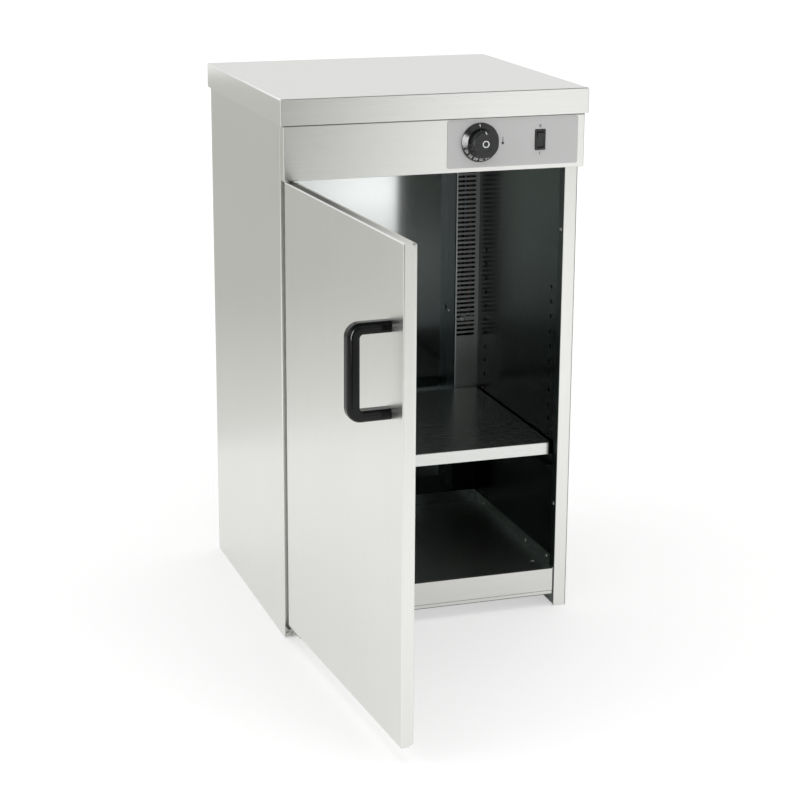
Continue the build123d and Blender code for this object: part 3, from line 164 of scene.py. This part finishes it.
paintedCapShade = ("#6E6E6A", ("Z", capEdge - 0.0026, capEdge - 0.0018),
           ("Z", capEdge + 0.001, capEdge))  # painted shade just under the cap's skirt
skinSteel = brushedSteel("brushedStainlessSides", "Z", "#DFDFDB", "#E6E6E3", 0.3, paintedLightAndShade=[
    paintedCapShade,
    # painted shade on the side skins' folded lips inside the opening
    ("#3F4946", ("X", -lipEdge, 0.0006 - lipEdge), ("X", lipEdge, lipEdge - 0.0006)),
    # painted shade along the right front flange's outer bend
    ("#7A7A77", ("X", flangeBend[0], flangeBend[0] + 0.001), ("Y", flangeBend[1], flangeBend[1] - 0.0012))])
uprightSteel = brushedSteel("brushedStainlessUpright", "Z", "#DFDFDB", "#E6E6E3", 0.3)
doorSteel = brushedSteel("brushedStainlessDoor", "Z", "#DFDFDB", "#E6E6E3", 0.3, turn=doorTurn, paintedLightAndShade=[
    ("#4E524F", ("Z", doorTop - 0.0016, doorTop - 0.0006), ("Y", -0.90, -0.60)),  # shaded top edge
    ("#FFFFFF", ("Z", doorTop - 0.0024, doorTop - 0.0016),                        # painted highlight on the bend beside it
     ("X", doorFace + 0.0022, doorFace + 0.0014))])
capSteel = brushedSteel("brushedStainlessCap", "X", "#DEDEDB", "#E5E5E3", 0.28, paintedLightAndShade=[
    ("#E8E8E5", ("X", -0.2436, -0.2446)),                                         # painted lighter tone on the left end of the skirt
    ("#FFFFFF", ("X", -0.2425, -0.2443), ("Z", capTop - 0.003, capTop - 0.001),   # painted highlight on the bend above it
     ("Y", -0.1, -0.4))])
acrossSteel = brushedSteel("brushedStainlessAcross", "X", "#DCDCD9", "#E3E3E1", 0.28, paintedLightAndShade=[paintedCapShade])
panSteel = brushedSteel("brushedStainlessPan", "X", "#D2D2CF", "#DADAD7", 0.28, paintedLightAndShade=[
    ("#B8BEBA", ("Y", -0.434, -0.425)),                                           # painted shade on the deck behind the front lip
    ("#7C7C79", ("Z", panLow + 0.0058, panLow + 0.0064), ("Z", panLow + 0.0076, panLow + 0.0070)),  # painted shade line at the hem's edge
    ("#6A6A67", ("Z", panLow + 0.0014, panLow + 0.0008))])                        # painted shade along the lower edge
# the walls' dark green-grey colour is painted shade
wallSteel = brushedSteel("millStainlessWallsPaintedShade", "Z", "#45524D", "#4D5A55", 0.25, 0.45, lift=0.002, paintedLightAndShade=[
    ("#161A18", ("Z", 0.66, 0.30)), ("#101413", ("Y", -0.26, -0.09))])            # painted shade: darker low down and far in
# the liner is part diffuse, which stands in for the many dim reflections between the walls; its mid grey colour is
# painted shade
linerSteel = brushedSteel("millStainlessLinerPaintedShade", "Z", "#7A827F", "#868E8B", 0.25, 0.45, lift=0.003, metal=0.7)
# the rails' dark green-grey colour is painted shade
railSteel = brushedSteel("brushedStainlessRails", "Z", "#3E4643", "#48504D", 0.25, paintedLightAndShade=[
    ("#FFFFFF", ("X", -railEdge - 0.0004, -railEdge - 0.0010),                    # painted highlight on the sheared edge
     ("X", railEdge + 0.0010, railEdge + 0.0004))])
# painted shade: the back wall darker low down, darkest low down on the right
backSteel = brushedSteel("brightStainlessBack", "Z", "#C1C4C3", "#CBCECD", 0.1, 0.1, lift=0.004, paintedLightAndShade=[
    ("#50585A", ("X", 0.09, 0.13), ("Z", 0.32, 0.24)), ("#7C8484", ("Z", 0.62, 0.36))])
# painted shade on the duct's left face, and darker low down
ductSteel = brushedSteel("millStainlessDuct", "Z", "#B2B6B7", "#BEC2C3", 0.4, 0.2, lift=0.01, paintedLightAndShade=[
    ("#565E62", ("X", 0.1775, 0.1765)), ("#151817", ("Z", 0.25, 0.16))])
lipBack = ("Y", shelfFront + 0.004, shelfFront + 0.002)
shelfSteel = brushedSteel("brushedStainlessShelf", "X", "#D4D6D3", "#DADCD9", 0.26, lift=0.002, paintedLightAndShade=[
    ("#4E5250", ("X", shelfEnd - 0.010, shelfEnd - 0.004), lipBack),              # shaded ends of the front lip
    # painted highlight on the very right end of the lip
    ("#DADCDA", ("X", shelfEnd - 0.0028, shelfEnd - 0.0018)),
    ("#4E5250", ("X", 0.010 - shelfEnd, 0.004 - shelfEnd), lipBack)])


def clouded(name, shader, dark, light, grit, detail, roughs, lift, depth):
    # a fine cloudy pattern that moves colour, roughness and relief together
    material, tree, surface, place = newMaterial(name, shader)
    cloud = addNode(tree, "ShaderNodeTexNoise", {"Scale": 1 / grit, "Detail": detail}, {"Vector": place}).outputs["Fac"]
    colour = addNode(tree, "ShaderNodeValToRGB", links={"Fac": cloud}, stops=[(0.3, dark), (0.7, light)])
    tree.links.new(colour.outputs["Color"], surface.inputs["Base Color"])
    dull = addNode(tree, "ShaderNodeMapRange", {"To Min": roughs[0], "To Max": roughs[1]}, {"Value": cloud})
    tree.links.new(dull.outputs["Result"], surface.inputs["Roughness"])
    relief = addNode(tree, "ShaderNodeBump", {"Strength": lift, "Distance": depth}, {"Height": cloud})
    tree.links.new(relief.outputs["Normal"], surface.inputs["Normal"])
    return material


def plainMetal(name, dark, light, rough, grit, lift):  # plated or drawn metal: even colour, fine cloudy finish
    return clouded(name, {"Metallic": 1.0}, dark, light, grit, 4.0, (rough - 0.06, rough + 0.08), lift, 0.0003)


def mouldedPlastic(name, dark, light, rough, grit, lift, ior=1.5, gloss=0.5):  # slight mottling, orange-peel skin
    return clouded(name, {"IOR": ior, "Specular IOR Level": gloss}, dark, light, grit, 3.0,
                   (rough - 0.03, rough + 0.04), lift, 0.0002)


brightScrew = plainMetal("nickelPlatedScrew", "#B5B5B0", "#CFCFCA", 0.24, 0.0008, 0.05)
zincSteel = plainMetal("zincPlatedSteel", "#9A9C98", "#B4B6B0", 0.38, 0.003, 0.1)
heaterSheath = plainMetal("oxidisedHeaterSheath", "#4A4038", "#6B5F52", 0.42, 0.004, 0.12)
copperTube = plainMetal("drawnCopper", "#B8744F", "#D08A62", 0.3, 0.002, 0.05)
ferrite = plainMetal("sinteredFerrite", "#26272A", "#36373A", 0.6, 0.0012, 0.2)
handlePlastic = mouldedPlastic("glossyBlackPhenolic", "#050707", "#090C0C", 0.11, 0.004, 0.03, 1.55, 0.2)
knobPlastic = mouldedPlastic("satinBlackPhenolic", "#070909", "#0E1111", 0.18, 0.0008, 0.05, 1.55, 0.45)
switchPlastic = mouldedPlastic("blackNylonSwitch", "#0B0C0D", "#131516", 0.25, 0.001, 0.1)
whiteNylon = mouldedPlastic("whiteNylon", "#DDDCD2", "#E9E8E0", 0.45, 0.0015, 0.1, 1.53)
greyNylon = mouldedPlastic("greyNylon", "#6B6E71", "#787B7E", 0.42, 0.0012, 0.12, 1.53)
brownResin = mouldedPlastic("brownPhenolicBody", "#3A2418", "#4A3022", 0.4, 0.001, 0.15)
brownWire = mouldedPlastic("brownPvcWire", "#4A2A18", "#5A3520", 0.36, 0.002, 0.05)
blueWire = mouldedPlastic("bluePvcWire", "#1E4E9A", "#285CAE", 0.36, 0.002, 0.05)
greenWire = mouldedPlastic("greenPvcWire", "#3E8A2C", "#4F9C3A", 0.36, 0.002, 0.05)
whiteInk = mouldedPlastic("whitePadPrintInk", "#E4E6E6", "#F2F3F3", 0.4, 0.0006, 0.05)
blackInk = mouldedPlastic("blackScreenPrintInk", "#101214", "#1A1C1E", 0.4, 0.0006, 0.05)
plateFilm = mouldedPlastic("satinPrintedPlate", "#BCBCBD", "#C1C1C2", 0.38, 0.0007, 0.04)


def mineralWool():  # pressed mineral wool slab: matted fibres, dry and rough
    material, tree, surface, place = newMaterial("pressedMineralWool", {"Roughness": 0.95, "IOR": 1.45})
    pulled = addNode(tree, "ShaderNodeMapping", {"Scale": (900, 250, 900)}, {"Vector": place}).outputs["Vector"]
    fibre = addNode(tree, "ShaderNodeTexNoise", {"Scale": 1.0, "Detail": 6.0, "Distortion": 1.2},
                    {"Vector": pulled}).outputs["Fac"]
    colour = addNode(tree, "ShaderNodeValToRGB", links={"Fac": fibre}, stops=[(0.25, "#8C7E58"), (0.75, "#C8BB92")])
    tree.links.new(colour.outputs["Color"], surface.inputs["Base Color"])
    relief = addNode(tree, "ShaderNodeBump", {"Strength": 0.6, "Distance": 0.001}, {"Height": fibre})
    tree.links.new(relief.outputs["Normal"], surface.inputs["Normal"])
    return material


wool = mineralWool()
print("materials ready")

nodeFinish = {
    skinSteel: ["left_side_skin", "right_side_skin"],
    uprightSteel: ["rear_panel", "door_inner_panel"],
    doorSteel: ["door_outer_pan"],
    capSteel: ["top_cap"],
    acrossSteel: ["fascia", "front_header"],
    panSteel: ["bottom_pan"],
    wallSteel: ["right_inner_wall"],
    linerSteel: ["left_inner_wall", "cavity_ceiling"],
    railSteel: ["left_shelf_rail", "right_shelf_rail"],
    backSteel: ["inner_back_wall", "rear_floor_cover"],
    ductSteel: ["heater_duct", "heater_flange", "heater_bracket"],
    shelfSteel: ["shelf"],
    brightScrew: ["cap_nuts", "thermostat_screws", "duct_screws", "rear_panel_screws", "fascia_screws",
                  "hinge_bracket_screws", "hinge_plate_screws", "handle_screws", "wall_rivets", "earth_stud",
                  "bulb_clip", "thermostat_shaft"],
    zincSteel: ["lower_hinge_bracket", "upper_hinge_bracket", "hinge_pins", "door_hinge_plate", "strike_plate"],
    handlePlastic: ["door_handle"],
    knobPlastic: ["thermostat_knob"],
    switchPlastic: ["switch_housing", "switch_rocker"],
    plateFilm: ["control_plate"],
    wool: ["side_insulation", "back_insulation", "top_insulation", "door_core"],
    whiteNylon: ["door_hinge_blocks", "hinge_washer", "terminal_block"],
    greyNylon: ["cable_gland", "gland_nut"],
    heaterSheath: ["heating_element"],
    copperTube: ["thermostat_bulb"],
    brownResin: ["thermostat_body", "thermal_cutout"],
    ferrite: ["magnetic_catch"],
    brownWire: ["live_wires", "heater_wires"],
    blueWire: ["neutral_wire"],
    greenWire: ["earth_wire"],
}
for material, names in nodeFinish.items():
    for name in names:
        for slot in nodes[name].material_slots:
            slot.material = material
print("CAD nodes finished:", sum(len(names) for names in nodeFinish.values()), "of", len(nodes))


def settle(piece, name, ink, body, matrix):  # place goes into the mesh, then it rides with its body
    bpy.ops.object.select_all(action="DESELECT")
    piece.select_set(True)
    bpy.context.view_layer.objects.active = piece
    piece.matrix_world = matrix
    bpy.ops.object.transform_apply(location=True, rotation=True, scale=True)
    piece.name = name
    piece.data.materials.clear()
    piece.data.materials.append(ink)
    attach(piece, body)


def printedText(words, height, film, bold=0.0):  # words as a thin raised film of ink, facing +Z
    bpy.ops.object.select_all(action="DESELECT")
    bpy.ops.object.text_add()
    text = bpy.context.active_object
    text.data.body = words
    text.data.size = height / 0.69  # capitals and numerals stand 0.69 of the type size
    text.data.extrude = film
    text.data.offset = bold
    text.data.align_x, text.data.align_y = "CENTER", "CENTER"
    text.data.resolution_u = 3
    bpy.ops.object.convert(target="MESH")
    return bpy.context.active_object


knobMarks = {
    "middle": (0.068, 0.7785),   # x and z of the knob's axis
    "numbers": [30, 40, 50, 60, 70, 80, 90, 100, 110],
    "first": 188.7,              # degrees, anticlockwise from the right
    "step": 21.04,
    "height": 0.0046,
    "radius": 0.0257,
    "skirtFront": -0.46175,      # y of the skirt at that radius
    "skirtSlope": 23.0,          # degrees that the skirt leans back
    "tick": (94.0, 0.0042, 0.0262),      # turn, height and radius of the line on the skirt
    "pointer": (88.0, 0.0046, 0.0172),   # and of the line on the grip's face
    "pointerLean": 30,           # degrees that this line leans to the left
    "bolder": (0.0001, 0.0002),  # metres added round the two lines' strokes
    "gripFront": -0.4849,
    "ring": 0.0104,              # height of the ring in the dish
    "dishFloor": -0.4841,
    "film": 0.00012,             # ink thickness either side, thicker than real so that it stays clear of the face
}


def onSkirt(degrees, radius):  # a spot on the knob's sloping skirt, its top pointing outwards
    slope = math.radians(knobMarks["skirtSlope"])
    x, z = knobMarks["middle"]
    spin = Matrix.Rotation(math.radians(90 - degrees), 4, "Y")
    drop = (radius - knobMarks["radius"]) * math.tan(slope)
    out = Matrix.Translation((0, knobMarks["skirtFront"] + drop, radius))
    return Matrix.Translation((x, 0, z)) @ spin @ out @ Matrix.Rotation(math.radians(90) - slope, 4, "X")


def upright(x, y, z, slant=0.0):  # a spot on a face that looks to the front
    lean = Matrix.Rotation(math.radians(slant), 4, "Y")
    return Matrix.Translation((x, y, z)) @ lean @ Matrix.Rotation(math.radians(90), 4, "X")


for index, number in enumerate(knobMarks["numbers"]):
    digits = printedText(str(number), knobMarks["height"], knobMarks["film"])
    settle(digits, "knobNumber" + str(number), whiteInk, "knob",
           onSkirt(knobMarks["first"] + index * knobMarks["step"], knobMarks["radius"]))
turn, height, radius = knobMarks["tick"]
settle(printedText("I", height, knobMarks["film"], knobMarks["bolder"][0]), "knobTick", whiteInk, "knob",
       onSkirt(turn, radius))
turn, height, radius = knobMarks["pointer"]
knobX, knobZ = knobMarks["middle"]
settle(printedText("I", height, knobMarks["film"], knobMarks["bolder"][1]), "knobPointer", whiteInk, "knob",
       upright(knobX, knobMarks["gripFront"], knobZ + radius, 90 - turn - knobMarks["pointerLean"]))
settle(printedText("O", knobMarks["ring"], knobMarks["film"]), "knobRing", whiteInk, "knob",
       upright(knobX, knobMarks["dishFloor"], knobZ))
print("knob marks ready")

plateMarks = {
    "front": -0.4578,           # y of the plate's face
    "film": 0.00012,
    "bulb": 0.0020,             # radius of the thermometer mark's bulb
    "stem": 0.0075,
    "thermometer": (0.105, 0.7757),
    "switchMiddle": 0.166,
    "off": ("0", 0.7993),       # word and height on the plate
    "on": ("I", 0.7571),
    "wordHeight": 0.0042,
    "bolder": 0.00015,          # metres added round their strokes
}


def thermometerMark():  # a disc whose top two edges are drawn up into a stem
    bpy.ops.object.select_all(action="DESELECT")
    bpy.ops.mesh.primitive_circle_add(vertices=24, radius=plateMarks["bulb"], fill_type="NGON")
    mark = bpy.context.active_object
    bpy.ops.object.mode_set(mode="EDIT")
    bpy.ops.mesh.select_mode(type="EDGE")
    bpy.ops.mesh.select_all(action="DESELECT")
    bpy.ops.object.mode_set(mode="OBJECT")
    for edge in mark.data.edges:
        top = sum(mark.data.vertices[corner].co.y for corner in edge.vertices) / 2
        edge.select = top > 0.97 * plateMarks["bulb"]
    bpy.ops.object.mode_set(mode="EDIT")
    bpy.ops.mesh.extrude_region_move(TRANSFORM_OT_translate={"value": (0, plateMarks["stem"], 0)})
    bpy.ops.mesh.select_all(action="SELECT")
    bpy.ops.mesh.extrude_region_move(TRANSFORM_OT_translate={"value": (0, 0, plateMarks["film"])})
    bpy.ops.mesh.select_all(action="SELECT")
    bpy.ops.mesh.normals_make_consistent(inside=False)
    bpy.ops.object.mode_set(mode="OBJECT")
    return mark


x, z = plateMarks["thermometer"]
settle(thermometerMark(), "thermometerMark", blackInk, "cabinet",
       upright(x, plateMarks["front"], z))
for name in ("off", "on"):
    word, z = plateMarks[name]
    sign = printedText(word, plateMarks["wordHeight"], plateMarks["film"], plateMarks["bolder"])
    settle(sign, "switchMark" + name.title(), blackInk, "cabinet",
           upright(plateMarks["switchMiddle"], plateMarks["front"], z))
print("plate marks ready")

studio = {
    "floorSize": 60.0,
    "floorNear": "#E8E8E5",
    "floorFar": "#A8A8A4",
    "floorReach": (0.6, 4.0),  # metres from the middle where the floor's tone, a painted falloff into shade, starts and stops to change
    "floorSeen": "#BCBCBC",
    "floorGlow": (0.49, 0.7),  # near the cabinet and far from it, so that the floor shows white all over
    "airStrength": 0.8,
    "lamps": {  # place, aim, size and watts
        "overheadSoftbox": ((0.0, -0.4, 3.4), (0, -0.3, 0.4), (3.2, 3.2), 40.0),
        "leftSoftbox": ((-3.2, -0.6, 1.9), (0, -0.3, 0.5), (2.4, 2.0), 26.0),
        "frontSoftbox": ((1.4, -3.6, 0.9), (0, -0.3, 0.5), (1.4, 1.4), 30.0),
    },
    "cards": {  # middle, width, height, turn, tone, strength, then the axis and the places where it fades out and in
        "backLeftCard": ((-0.9, 0.6, 0.38), 1.2, 0.76, 0, "#C4C4BF", 1.0, "Z", -0.25, 0.3),
        "frontLeftCard": ((-0.3, -2.6, 0.9), 2.4, 1.8, 0, "#90908C", 1.0, "X", 0.81, 0.28),
        "backRightCard": ((1.4, 1.2, 0.42), 1.6, 0.84, 0, "#C8C8C4", 1.0, "Z", -0.3, 0.5),
        "leftFrontCard": ((-2.0, -1.7, 0.42), 1.9, 0.84, -52, "#BEBEBA", 1.0, "Z", -0.3, 0.4),
        "rightFrontCard": ((2.0, -1.7, 0.42), 1.9, 0.84, 52, "#BEBEBA", 1.0, "Z", -0.3, 0.4),
        "rightCard": ((1.5, 0.3, 0.42), 2.2, 0.84, 90, "#CECECA", 1.0, "Z", -0.3, 0.4),
        "frontWhiteCard": ((-0.66, -1.98, 0.72), 0.3, 0.8, 0, "#FFFFFF", 20.0, "Z", 0.0, 0.02),
    },
    "shownOnlyIn": {"frontWhiteCard": ["thermostat_knob", "door_handle"]},  # their highlight, with no glare on steel
}


def shownRay(tree):  # 1 for what the camera, metal and glass see, 0 for light that spreads
    path = addNode(tree, "ShaderNodeLightPath").outputs
    seen = addNode(tree, "ShaderNodeMath", links={0: path["Is Camera Ray"], 1: path["Is Glossy Ray"]},
                   operation="MAXIMUM")
    return addNode(tree, "ShaderNodeMath", links={0: seen.outputs[0], 1: path["Is Transmission Ray"]},
                   operation="MAXIMUM").outputs[0]


def makeFloor():
    bpy.ops.object.select_all(action="DESELECT")
    bpy.ops.mesh.primitive_plane_add(size=studio["floorSize"])
    floor = bpy.context.active_object
    floor.name = "studioFloor"
    material, tree, place = emptyMaterial("paleStudioFloor")
    distance = addNode(tree, "ShaderNodeVectorMath", links={0: place}, operation="LENGTH").outputs["Value"]
    near, far = studio["floorReach"]
    reach = addNode(tree, "ShaderNodeMapRange", {"From Min": near, "From Max": far}, {"Value": distance})
    pale = addNode(tree, "ShaderNodeValToRGB", links={"Fac": reach.outputs["Result"]},
                   stops=[(0.0, studio["floorNear"]), (1.0, studio["floorFar"])])
    # painted shade: for light that spreads, the floor darkens from near to far
    wearAndPaintedFalloff = addNode(tree, "ShaderNodeBsdfDiffuse", links={"Color": pale.outputs["Color"]})
    white = addNode(tree, "ShaderNodeBsdfDiffuse", {"Color": linear(studio["floorSeen"])})
    low, high = studio["floorGlow"]
    lift = addNode(tree, "ShaderNodeMapRange", {"To Min": low, "To Max": high}, {"Value": reach.outputs["Result"]})
    glow = addNode(tree, "ShaderNodeEmission", links={"Strength": lift.outputs["Result"]})
    lifted = addNode(tree, "ShaderNodeAddShader", links={0: white.outputs[0], 1: glow.outputs[0]})
    mixed = addNode(tree, "ShaderNodeMixShader",
                    links={0: shownRay(tree), 1: wearAndPaintedFalloff.outputs[0], 2: lifted.outputs[0]})
    addNode(tree, "ShaderNodeOutputMaterial", links={"Surface": mixed.outputs[0]})
    floor.data.materials.append(material)


def makeWorld():
    world = bpy.data.worlds.new("softStudio")
    bpy.context.scene.world = world
    world.use_nodes = True
    tree = world.node_tree
    tree.nodes.clear()
    direction = addNode(tree, "ShaderNodeTexCoord").outputs["Generated"]
    height = addNode(tree, "ShaderNodeSeparateXYZ", links={0: direction}).outputs["Z"]
    sky = addNode(tree, "ShaderNodeValToRGB", links={"Fac": height},
                  stops=[(0.0, "#9A9A98"), (0.25, "#F0F0EE"), (1.0, "#FFFFFF")])
    air = addNode(tree, "ShaderNodeBackground", {"Strength": studio["airStrength"]}, {"Color": sky.outputs["Color"]})
    dome = addNode(tree, "ShaderNodeValToRGB", links={"Fac": height},
                   stops=[(0.5, "#FFFFFF"), (0.85, "#6A6A68"), (1.0, "#505050")])
    white = addNode(tree, "ShaderNodeBackground", {"Strength": 1.0}, {"Color": dome.outputs["Color"]})
    mixed = addNode(tree, "ShaderNodeMixShader", links={0: shownRay(tree), 1: air.outputs[0], 2: white.outputs[0]})
    addNode(tree, "ShaderNodeOutputWorld", links={"Surface": mixed.outputs[0]})


def softbox(name, place, aim, size, power):  # area lamp, not seen in reflections
    data = bpy.data.lights.new(name, "AREA")
    data.shape = "RECTANGLE"
    data.size, data.size_y = size
    data.energy = power
    lamp = bpy.data.objects.new(name, data)
    bpy.context.scene.collection.objects.link(lamp)
    lamp.location = place
    lamp.rotation_euler = (Vector(aim) - Vector(place)).to_track_quat("-Z", "Y").to_euler()
    lamp.visible_glossy = False


def studioCard(name, middle, width, height, turn, tone, strength, axis, clear, full):
    # upright card that shows only in reflections, and fades out along one axis
    bpy.ops.object.select_all(action="DESELECT")
    bpy.ops.mesh.primitive_plane_add(size=1.0)
    card = bpy.context.active_object
    card.name = name
    card.location = middle
    card.rotation_euler = (math.radians(90), 0, math.radians(turn))
    card.scale = (width, height, 1)
    bpy.ops.object.transform_apply(location=True, rotation=True, scale=True)
    material, tree, place = emptyMaterial(name + "Tone")
    along = addNode(tree, "ShaderNodeSeparateXYZ", links={0: place}).outputs[axis]
    fade = addNode(tree, "ShaderNodeMapRange", {"From Min": clear, "From Max": full}, {"Value": along})
    through = addNode(tree, "ShaderNodeBsdfTransparent")
    glow = addNode(tree, "ShaderNodeEmission", {"Color": linear(tone), "Strength": strength})
    mixed = addNode(tree, "ShaderNodeMixShader",
                    links={0: fade.outputs["Result"], 1: through.outputs[0], 2: glow.outputs[0]})
    addNode(tree, "ShaderNodeOutputMaterial", links={"Surface": mixed.outputs[0]})
    card.data.materials.append(material)
    card.visible_camera = card.visible_diffuse = card.visible_shadow = card.visible_transmission = False
    return card


makeFloor()
makeWorld()
for name, values in studio["lamps"].items():
    softbox(name, *values)
for name, values in studio["cards"].items():
    card = studioCard(name, *values)
    if name in studio["shownOnlyIn"]:
        shownIn = bpy.data.collections.new(name + "ShownIn")
        for node in studio["shownOnlyIn"][name]:
            shownIn.objects.link(nodes[node])
        card.light_linking.receiver_collection = shownIn
bpy.context.scene.view_settings.view_transform = "Standard"
print("studio ready")
